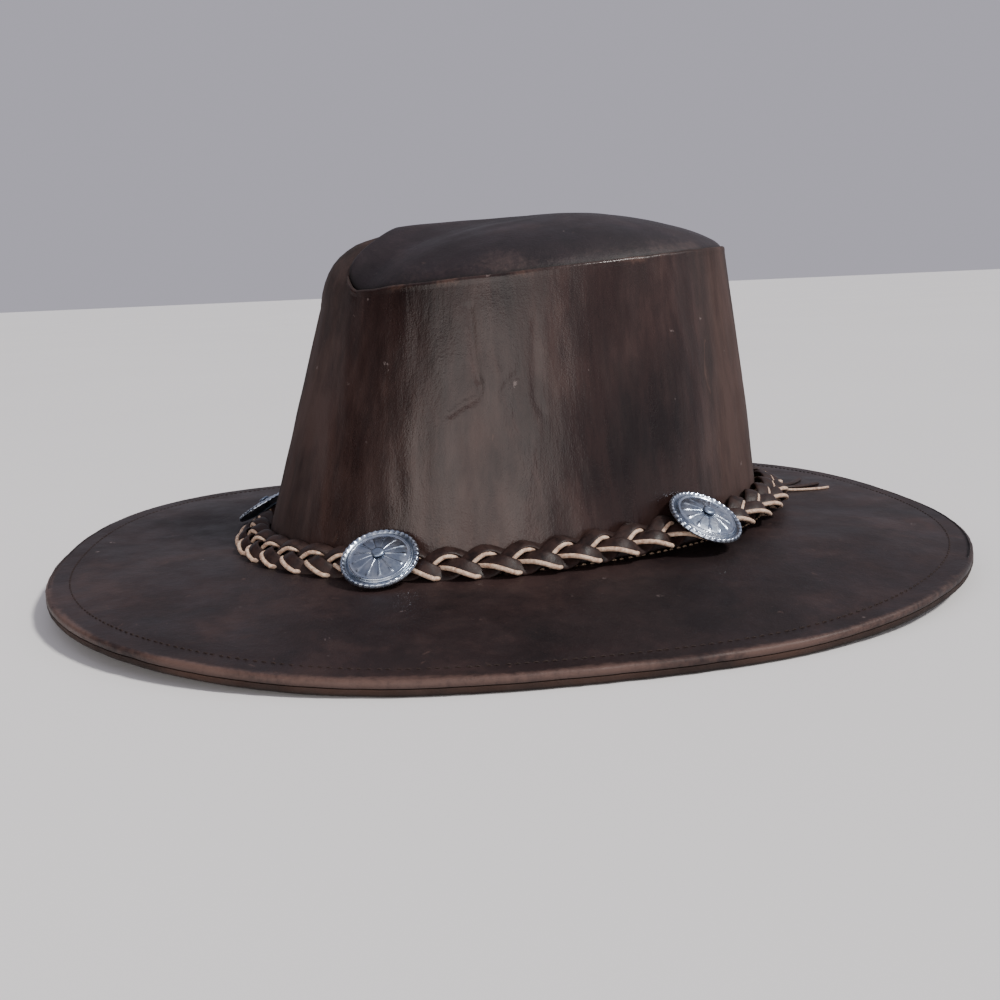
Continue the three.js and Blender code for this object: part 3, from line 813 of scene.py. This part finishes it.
def add_crown_tip():
    segments = 480
    theta = (np.arange(segments) * 2 * np.pi / segments)[:, None]
    top_stations = np.concatenate([np.linspace(0.012, 0.9, 50), np.linspace(0.912, 0.985, 10)])
    rows = [(station, 1.0) for station in top_stations]
    rows += [(0.994, 0.93), (0.999, 0.75), (1.0, 0.5), (1.0, 0.25), (0.997, 0.06)]
    rows += [(station, 0.0) for station in np.linspace(0.985, 0.012, 30)]
    rows = np.array(rows)[None]
    station = np.broadcast_to(rows[..., 0], (segments, rows.shape[1]))
    share = np.broadcast_to(rows[..., 1], station.shape)
    theta = np.broadcast_to(theta, station.shape)
    front = peak(theta)
    from_front = np.abs(180 - np.degrees(theta))
    pull_in = (1.3 * (1 - smoothstep(front, 0, 0.35)) + 1.6 * bump(from_front, 30, 7)) * MM
    point = tip_point(theta, station, share * LEATHER)
    point -= foot_normal(theta) * (pull_in * smoothstep(station, 0.7, 1))[..., None]
    top = smoothstep(share, 0.2, 1)
    turn_down = 0.5 * MM * smoothstep(station, 0.94, 1.0) ** 2 * top
    dip = 0.5 * MM * ripple(point * [1, 1, 0], 34 * MM, 31) * (1 - station**6)
    point[..., 2] += dip * 0.8 - turn_down + 0.08 * MM * ripple(point, 7 * MM, 32) * top
    wear = 0.2 * smoothstep(ripple(point, 16 * MM, 33), 0.2, 1.5) * top
    wear += 0.45 * smoothstep(station, 0.72, 0.97) * smoothstep(np.sin(theta), 0.2, 0.8) * top
    points = point.reshape(-1, 3)
    columns = station.shape[1]
    top_centre = tip_point(np.zeros(1), np.zeros(1), np.full(1, LEATHER))
    low_centre = tip_point(np.zeros(1), np.zeros(1), np.zeros(1))
    vertices = np.concatenate([points, top_centre, low_centre])
    faces = grid_faces(segments, columns, wrap_columns=False).tolist() + fan_faces(segments, columns)
    # Painted shade on the tip's turned-down edge, in the crevice under the wall's lip.
    painted_shade = 0.9 * smoothstep(station, 0.985, 1) * np.ones_like(front)
    weights = {"wear": np.concatenate([np.clip(wear, 0, 1).ravel(), [0, 0]]),
               "painted_shade": np.concatenate([painted_shade.ravel(), [0, 0]])}
    return add_mesh("crown_tip_panel", vertices, faces, "tip", "hat", ["crown_tip"],
                    "top_leather", weights)


add_crown_tip()

# ---- Inside the crown: sweatband and back seam tape ----

def lining_point(theta, height, inset):
    below = foot_point(theta, -inset, np.minimum(height, 0))
    station = np.clip(height / RIM_HEIGHT, 0, 1)
    above = wall_point(theta, station) + inward_normal(theta, station) * inset[..., None]
    return np.where((height > 0)[..., None], above, below)


def add_sweatband():
    """A strip that is round at its top edge and has one sewn line below it."""
    segments, thick, top, bottom = 300, 1.2 * MM, 30 * MM, -7.2 * MM
    inset = LEATHER + GAP
    rows = [(h, 0.0) for h in np.linspace(bottom, top - 0.4 * MM, 20)]
    rows += [(top - 0.1 * MM, 0.2), (top, 0.5), (top - 0.1 * MM, 0.8)]
    rows += [(h, 1.0) for h in np.linspace(top - 0.4 * MM, bottom, 24)]
    rows = np.array(rows)[None]
    height = np.broadcast_to(rows[..., 0], (segments, rows.shape[1]))
    share = np.broadcast_to(rows[..., 1], height.shape)
    theta = np.broadcast_to((np.arange(segments) * 2 * np.pi / segments)[:, None], height.shape)
    point = lining_point(theta, height, inset + share * thick)
    soft = ripple(point * [1, 1, 0.4], 12 * MM, 41) * 0.18 * MM
    soft += 0.25 * MM * bump(height, 24 * MM, 1.0 * MM)
    point += foot_normal(theta) * (soft * smoothstep(share, 0.3, 1))[..., None]
    wear = 0.5 * bump(height, top, 1.5 * MM) + 0.3 * smoothstep(ripple(point, 14 * MM, 42), 0.2, 1.4)
    add_mesh("sweat_band", point, grid_faces(*height.shape), "lining", "hat", ["sweatband"],
             "lining_leather", {"wear": wear})


def add_seam_tape():
    rows, columns = 60, 24
    profile = oval_profile(4, 0.5, columns, 0.35)
    theta = np.broadcast_to(np.radians(profile[:, 0])[None], (rows, columns))
    station = np.broadcast_to(np.linspace(0.34, 0.9, rows)[:, None], theta.shape)
    depth = np.broadcast_to((profile[:, 1] + 3.5) * MM, theta.shape)
    point = wall_point(theta, station) + inward_normal(theta, station) * depth[..., None]
    faces = grid_faces(rows, columns, wrap_rows=False).tolist() + end_faces(rows, columns)
    add_mesh("seam_tape", point, faces, "lining", "hat", ["back_seam_tape"], "lining_leather",
             {"wear": np.zeros(rows * columns)})


add_sweatband()
add_seam_tape()

# ---- Stitches ----

def stitch_row(place, normal, count, share, radius, sink, seed):
    """Stitches that take up a share of each step along a line and dip into their holes by sink."""
    rng = np.random.default_rng(seed)
    parts = []
    for index in range(count):
        slack = rng.uniform(-0.12, 0.12)
        t = (index + np.linspace(0, share, 5) + slack) / count
        dip = np.array([1.5, 0.35, 0, 0.35, 1.5]) * sink
        path = place(t) - normal * dip[:, None]
        girth = radius * rng.uniform(0.85, 1.1)
        parts.append(capped_tube(path, normal, oval_profile(girth, girth * 0.8, 6)))
    return parts


def edge_line(t):
    theta = t * 2 * np.pi
    point = brim_point(theta, np.full_like(theta, EDGE_THREAD_STATION), GAP, 0)
    point[..., 2] -= 0.05 * MM
    return point


def under_edge_line(t):
    theta = t * 2 * np.pi
    return brim_point(theta, np.full_like(theta, EDGE_THREAD_STATION), GAP, 2 * LEATHER + GAP)


def foot_line(t):
    theta = BAND.theta_at(t)
    return foot_point(theta, FOOT_THREAD_OFFSET, 0.25 * MM)


UP = np.array([0, 0, 1.0])

add_parts("brim_stitches",
          stitch_row(edge_line, UP, 380, 0.6, 0.3 * MM, 0.22 * MM, 51)
          + stitch_row(under_edge_line, -UP, 300, 0.74, 0.25 * MM, 0.18 * MM, 52),
          "thread", "hat", ["brim_edge_thread"], "thread")
add_parts("foot_stitches", stitch_row(foot_line, UP, 210, 0.5, 0.42 * MM, 0.35 * MM, 53),
          "pale_thread", "hat", ["crown_foot_thread"], "thread")


BACK_SEAM_DEGREES = 1.9
BACK_WALL_NORMAL = np.array([0, 0.97, 0.24])


def back_seam_line(degrees):
    """One of the two rows beside the seam; it starts behind the band."""
    def place(t):
        theta = np.full_like(t, math.radians(degrees))
        station = 0.14 + 0.82 * t
        return wall_point(theta, station) - inward_normal(theta, station) * 0.15 * MM
    return place


seam_stitches = []
for degrees, seed in ((BACK_SEAM_DEGREES, 54), (-BACK_SEAM_DEGREES, 55)):
    seam_stitches += stitch_row(back_seam_line(degrees), BACK_WALL_NORMAL, 24, 0.72,
                                0.36 * MM, 0.3 * MM, seed)
add_parts("back_seam_stitches", seam_stitches, "thread", "hat")

# ---- Braid ----

BRAID_STEPS = BRAID_PERIODS * 30
STRAND_BESIDE = -0.6 * MM
LACE_BESIDE = 2.3 * MM
LACE_TUCK = 1.5 * MM
TUCK_INWARDS = 1.9


def braid_path(member, beside, tuck):
    """A strand's path, or its lace's, which tucks under the strand past each edge of the braid."""
    trim = BRAID_TRIM / BAND.length
    t = np.linspace(0, 1, BRAID_STEPS + 1)
    wave = 2 * np.pi * BRAID_PERIODS * t + 2 * np.pi * member / 3 + BRAID_START
    slope = BRAID_HALF_SWING * np.cos(wave) * 2 * np.pi * BRAID_PERIODS / BAND.length
    past_outer = smoothstep(np.cos(wave), 0, 0.4) * smoothstep(np.sin(wave), 0.1, 0.5)
    past_inner = smoothstep(-np.cos(wave), -0.2, 0.3) * smoothstep(-np.sin(wave), 0.2, 0.6)
    tucked = tuck * (past_outer + past_inner)
    shift = (beside - TUCK_INWARDS * tucked) / np.hypot(1, slope)
    along = trim + (1 - 2 * trim) * t - shift * slope / BAND.length
    lateral = BRAID_HALF_SWING * np.sin(wave) + shift
    height = -BRAID_HALF_LIFT * np.sin(2 * wave) - tucked
    _, across, face = BAND.axes(along)
    up = unit(face + across * (0.35 * np.sin(wave))[:, None])
    return BAND.point(along, lateral, height), up


for member in range(3):
    strand = capped_tube(*braid_path(member, STRAND_BESIDE, 0),
                         oval_profile(2.75 * MM, 0.8 * MM, 16, 0.8))
    add_mesh(f"strand_{member + 1}", *strand, "strand", "hatband",
             [f"braid_strand_{member + 1}"], "strand_leather")
    lace = capped_tube(*braid_path(member, LACE_BESIDE, LACE_TUCK),
                       oval_profile(0.88 * MM, 0.8 * MM, 10))
    add_mesh(f"lace_{member + 1}", *lace, "lace", "hatband",
             [f"braid_lace_{member + 1}"], "rawhide_lace")

# ---- Tie: turns of strand wound over the braid's two ends ----

TIE_LATERAL = 0.8 * MM
TIE_CORE_HALF_LENGTH = 8.4 * MM


def tie_winding(start, pitch, turns, radius_side, radius_up, thickness):
    angle = np.linspace(0, 2 * np.pi * turns, int(40 * turns) + 1)
    along = (start + pitch * angle / (2 * np.pi)) / BAND.length
    lateral = TIE_LATERAL + radius_side * np.cos(angle)
    height = radius_up * np.sin(angle)
    path = BAND.point(along, lateral, height)
    _, across, face = BAND.axes(along)
    up = unit(across * np.cos(angle)[:, None] + face * (np.sin(angle) * 1.6)[:, None])
    return capped_tube(path, up, oval_profile(pitch * 0.44, thickness, 12, 0.8))


def tie_core():
    along = np.linspace(-TIE_CORE_HALF_LENGTH, TIE_CORE_HALF_LENGTH, 12) / BAND.length
    path = BAND.point(along, np.full_like(along, TIE_LATERAL), np.zeros_like(along))
    _, _, face = BAND.axes(np.zeros_like(along))
    return capped_tube(path, face, oval_profile(5.0 * MM, 1.9 * MM, 24))


winding = tie_winding(start=-5.6 * MM, pitch=2.8 * MM, turns=4, radius_side=6.0 * MM,
                      radius_up=2.3 * MM, thickness=0.7 * MM)
add_parts("tie_wrap", [tie_core(), winding], "strand", "hatband", ["band_tie"], "strand_leather")

# ---- Conchos ----

# The stamped disc in mm about its own axis, drawn for DIE_RADIUS and then scaled to CONCHO_RADIUS.
DIE_RADIUS = 15
RIVET_HOLE = 1.75
DOME_RADIUS = 12
ROPE_RADIUS = 14
RAYS = 13
SCALLOPS = 40
DISC_STEPS = 224
TOP_RADII = [(RIVET_HOLE, 11.3, 34), (11.5, 12.9, 10), (13.1, DIE_RADIUS, 12)]
UNDER_RADII = [14.9, 14.0, 12.4, 11.2, 9.0, 6.0, 3.0, RIVET_HOLE]


def dome(radius, rise):
    return rise * np.clip(1 - (radius / DOME_RADIUS) ** 2, 0, 1)


def ray_height(angle, radius):
    """Raised rays, 0 to 1, that swell towards the bead."""
    phase = np.mod(angle * RAYS / (2 * np.pi) + 0.5, 1) - 0.5
    off = np.abs(phase) * 2 * np.pi / RAYS * radius
    swell = 0.14 + 0.4 * smoothstep(radius, 7.0, 9.6)
    return bump(off, 0, swell) * smoothstep(radius, 1.9, 2.4) * (1 - smoothstep(radius, 9.6, 10.4))


def concho_mesh():
    """Points and tarnish of a disc: rope edge, groove, bead and a rayed dome, then its underside."""
    angle = (np.arange(DISC_STEPS) * 2 * np.pi / DISC_STEPS)[:, None]
    radius = np.concatenate([np.linspace(*span) for span in TOP_RADII])[None] * np.ones_like(angle)
    ray = ray_height(angle, radius)
    bead = 0.55 * bump(radius, 11.6, 0.42)
    groove = 0.32 * bump(radius, 12.5, 0.4)
    twist = 0.5 + 0.5 * np.cos(SCALLOPS * angle + (radius - ROPE_RADIUS) * 1.3)
    rope = 0.30 * twist * bump(radius, ROPE_RADIUS, 0.75) + 0.35 * bump(radius, ROPE_RADIUS, 0.8)
    height = 0.95 + dome(radius, 2.0) + 0.3 * ray + bead - groove + rope
    height -= 0.6 * smoothstep(radius, 14.5, DIE_RADIUS)
    notch = 0.5 - 0.5 * np.cos(SCALLOPS * angle + 1.3)
    scallop = 1 - 0.016 * notch * smoothstep(radius, 13.2, DIE_RADIUS)
    between_rays = 0.3 * (1 - ray) * (1 - smoothstep(radius, 9.8, 10.6))
    tarnish = np.clip(0.9 * bump(radius, 12.6, 0.35) + between_rays, 0, 1)
    under = np.array(UNDER_RADII)[None] * np.ones_like(angle)
    all_radius = np.concatenate([radius * scallop, under * np.where(under > 13, 0.985, 1)], 1)
    all_radius *= CONCHO_RADIUS / DIE_RADIUS
    all_height = np.concatenate([height, dome(under, 1.85) + 0.02], 1)
    points = points_of(all_radius * np.cos(angle), all_radius * np.sin(angle), all_height) * MM
    return points, np.concatenate([tarnish, np.full(under.shape, 0.4)], 1)


def moved(points, place):
    matrix = np.array(place)
    return points.reshape(-1, 3) @ matrix[:3, :3].T + matrix[:3, 3]


def add_concho(number, along, lean):
    points, tarnish = concho_mesh()
    vertices = moved(points, band_matrix(along, CONCHO_LATERAL, CONCHO_BACK, lean))
    body = f"concho_{number}"
    add_mesh(f"concho_disc_{number}", vertices, grid_faces(*tarnish.shape), "silver", body,
             [body], "silver", {"tarnish": tarnish})


def rounded_block(low, high, bevel):
    """A block between two corners, with rounded edges."""
    solid = bmesh.new()
    bmesh.ops.create_cube(solid, size=1)
    low, high = np.array(low), np.array(high)
    for vertex in solid.verts:
        vertex.co = Vector((np.array(vertex.co) + 0.5) * (high - low) + low)
    bmesh.ops.bevel(solid, geom=solid.edges[:], offset=bevel, segments=3, affect="EDGES", profile=0.5)
    vertices = np.array([vertex.co[:] for vertex in solid.verts])
    faces = [[vertex.index for vertex in face.verts] for face in solid.faces]
    solid.free()
    return vertices, faces


def turned(profile, centre_lateral, segments=40):
    """A turned solid about the rivet's axis; its (radius, height) rows start and end at radius 0."""
    radius, height = np.array(profile[1:-1]).T
    rows = len(radius)
    angle = (np.arange(segments) * 2 * np.pi / segments)[:, None]
    points = points_of(radius * np.cos(angle), centre_lateral + radius * np.sin(angle), height)
    ends = [[0, centre_lateral, profile[end][1]] for end in (0, -1)]
    faces = grid_faces(segments, rows, wrap_columns=False).tolist() + fan_faces(segments, rows)
    return np.concatenate([points.reshape(-1, 3), ends]), faces


# The clip in mm from the braid's middle: a plate over the braid and a prong down each side of it.
CLIP_HALF_WIDTH = 3
PLATE_UNDER = 3.5
PLATE_TOP = 4.2
PRONG_LOW = 0.6
PRONG_HALF_THICKNESS = 0.35
PRONG_LATERALS = (-6.7, 8.7)
CLIP_BEVEL = 0.22
CLIP_TARNISH = 0.15
RIVET_PROFILE = [
    (0, 3.85), (1.2, 3.85), (1.2, 8.45), (2.25, 8.5), (2.4, 8.7), (2.3, 9.0), (1.8, 9.3),
    (1.0, 9.4), (0.85, 9.33), (0.6, 9.3), (0.3, 9.35), (0, 9.37),
]


def clip_block(lateral_from, lateral_to, low):
    return rounded_block([-CLIP_HALF_WIDTH, lateral_from - PRONG_HALF_THICKNESS, low],
                         [CLIP_HALF_WIDTH, lateral_to + PRONG_HALF_THICKNESS, PLATE_TOP], CLIP_BEVEL)


def clip_parts():
    prongs = [clip_block(lateral, lateral, PRONG_LOW) for lateral in PRONG_LATERALS]
    rivet = turned(RIVET_PROFILE, CONCHO_LATERAL / MM)
    return [clip_block(*PRONG_LATERALS, PLATE_UNDER), *prongs, rivet]


for number, along in enumerate(CONCHO_PLACES, 1):
    lean = CLIP_LEAN * math.sin(2 * math.pi * along)
    add_concho(number, along, lean)
    place = band_matrix(along, 0, 0, lean)
    parts = [(moved(vertices * MM, place), faces) for vertices, faces in clip_parts()]
    total = sum(len(vertices) for vertices, _ in parts)
    add_parts(f"clip_{number}", parts, "steel", "hatband", [f"concho_clip_{number}"], "silver",
              {"tarnish": np.full(total, CLIP_TARNISH)})

# ---- Floor and light ----

HAT_MIDDLE = Vector((0, 0, 0.07))
FLOOR_REACH = 30
FLOOR_Z = -0.0002


def add_floor():
    n = Nodes("pale_floor")
    colour = n.ramp(n.noise(2.0, 2), [(0.3, (0.76, 0.76, 0.765)), (0.7, (0.78, 0.78, 0.785))])
    material = n.finish(colour, 0.8)
    mesh = bpy.data.meshes.new("floor")
    corners = [(-1, -1), (1, -1), (1, 1), (-1, 1)]
    mesh.from_pydata([(x * FLOOR_REACH, y * FLOOR_REACH, 0) for x, y in corners], [], [(0, 1, 2, 3)])
    mesh.materials.append(material)
    floor = bpy.data.objects.new("floor", mesh)
    floor.location.z = FLOOR_Z
    bpy.context.scene.collection.objects.link(floor)


def add_lamp(name, kind, azimuth, elevation, distance, strength, colour):
    """A lamp that faces the hat."""
    towards = direction(azimuth, elevation)
    data = bpy.data.lights.new(name, kind)
    data.energy = strength
    data.color = colour
    lamp = bpy.data.objects.new(name, data)
    lamp.location = HAT_MIDDLE + towards * distance
    lamp.rotation_euler = towards.to_track_quat("Z", "Y").to_euler()
    bpy.context.scene.collection.objects.link(lamp)
    return data


def add_lights():
    """A broad distant key from behind the wearer's left, and a long soft box in front of it."""
    key = add_lamp("key", "SUN", azimuth=148, elevation=50, distance=0, strength=3.4,
                   colour=(1.0, 0.96, 0.91))
    key.angle = math.radians(9)
    side = add_lamp("side_reflector", "AREA", azimuth=67, elevation=13, distance=1.7, strength=15,
                    colour=(1.0, 0.93, 0.87))
    side.shape = "RECTANGLE"
    side.size, side.size_y = 2.2, 0.8


def add_sky():
    """Even pale light that falls off towards the front of the hat."""
    world = bpy.data.worlds.new("studio")
    world.use_nodes = True
    tree = world.node_tree
    background = tree.nodes["Background"]
    background.inputs["Color"].default_value = (0.90, 0.87, 1.0, 1)
    direction = tree.nodes.new("ShaderNodeTexCoord")
    parts = tree.nodes.new("ShaderNodeSeparateXYZ")
    level = tree.nodes.new("ShaderNodeMapRange")
    level.interpolation_type = "SMOOTHSTEP"
    limits = {"From Min": -0.92, "From Max": -0.45, "To Min": 0.05, "To Max": 0.5}
    for socket, number in limits.items():
        level.inputs[socket].default_value = number
    tree.links.new(direction.outputs["Generated"], parts.inputs["Vector"])
    tree.links.new(parts.outputs["Y"], level.inputs["Value"])
    tree.links.new(level.outputs["Result"], background.inputs["Strength"])
    bpy.context.scene.world = world


add_floor()
add_lights()
add_sky()
